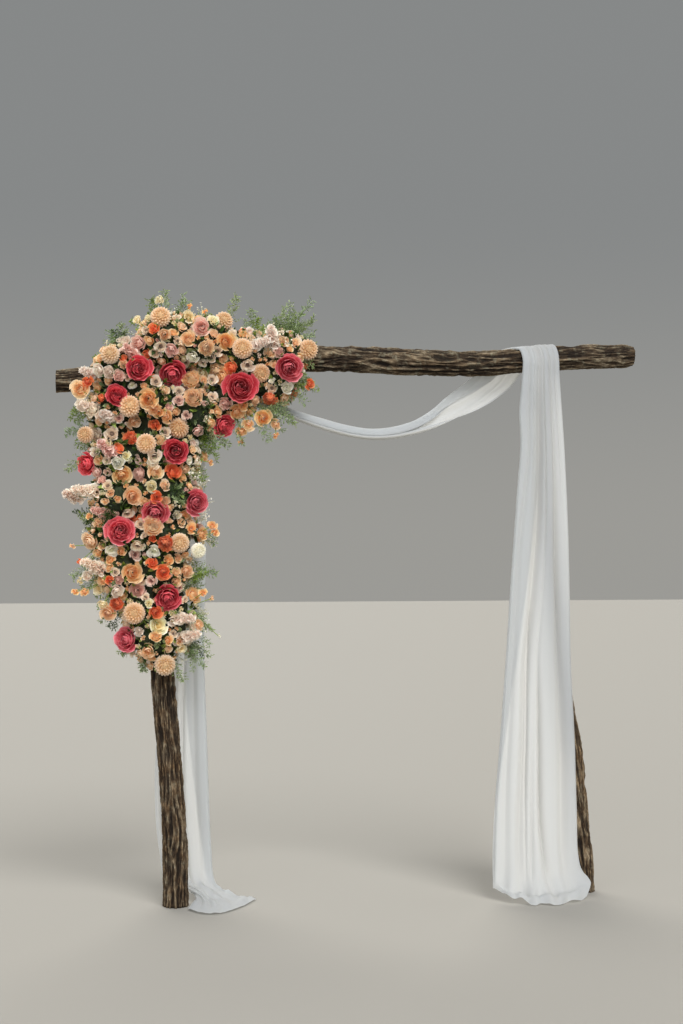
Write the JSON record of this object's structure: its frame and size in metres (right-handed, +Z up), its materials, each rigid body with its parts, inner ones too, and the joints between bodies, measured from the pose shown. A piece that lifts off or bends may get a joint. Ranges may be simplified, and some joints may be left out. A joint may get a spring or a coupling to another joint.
{
  "type": "two-post wedding arch with draped cloth and flowers",
  "caption": "Free-standing rustic arch: bark log posts and beam, one long white cloth swagged over the beam to the ground, and a flower arrangement tied over one corner.",
  "frame": {"origin": "middle of the left post's foot, on the ground", "axes": "+Z up, +X from the left post to the right post, -Y towards the guests"},
  "size_m": [2.3826, 0.3812, 2.414],
  "materials": {
    "bark": "rough furrowed bark, grey-brown",
    "steel": "zinc-plated",
    "cloth": "sheer white chiffon in soft folds",
    "foliage": "matte leaves and stems",
    "rose_petals": "velvety raspberry red petals",
    "dahlia_petals": "matte petals from cream and peach to orange",
    "wire": "green-coated florist's wire"
  },
  "bodies": {
    "root": {"bed_beam": "foliage", "bed_corner": "foliage", "bed_crown": "foliage", "bed_lower": "foliage", "bed_tail": "foliage", "bed_upper": "foliage", "cross_beam": "bark", "dahlia_01": "dahlia_petals", "dahlia_02": "dahlia_petals", "dahlia_03": "dahlia_petals", "dahlia_04": "dahlia_petals", "dahlia_05": "dahlia_petals", "dahlia_06": "dahlia_petals", "dahlia_07": "dahlia_petals", "dahlia_08": "dahlia_petals", "dahlia_09": "dahlia_petals", "drape_left_panel": "cloth", "drape_left_pool": "cloth", "drape_left_wrap": "cloth", "drape_right_panel": "cloth", "drape_right_pool": "cloth", "drape_right_saddle": "cloth", "drape_swag": "cloth", "left_post": "bark", "left_screw": "steel", "right_post": "bark", "right_screw": "steel", "rose_01": "rose_petals", "rose_02": "rose_petals", "rose_03": "rose_petals", "rose_04": "rose_petals", "rose_05": "rose_petals", "rose_06": "rose_petals", "rose_07": "rose_petals", "rose_08": "rose_petals", "rose_09": "rose_petals", "rose_10": "rose_petals", "rose_11": "rose_petals", "rose_12": "rose_petals", "rose_13": "rose_petals", "spray_beam": "foliage", "spray_crown": "foliage", "spray_side": "foliage", "spray_tail": "foliage", "tie_beam_left": "wire", "tie_beam_right": "wire"}
  },
  "joints": []
}
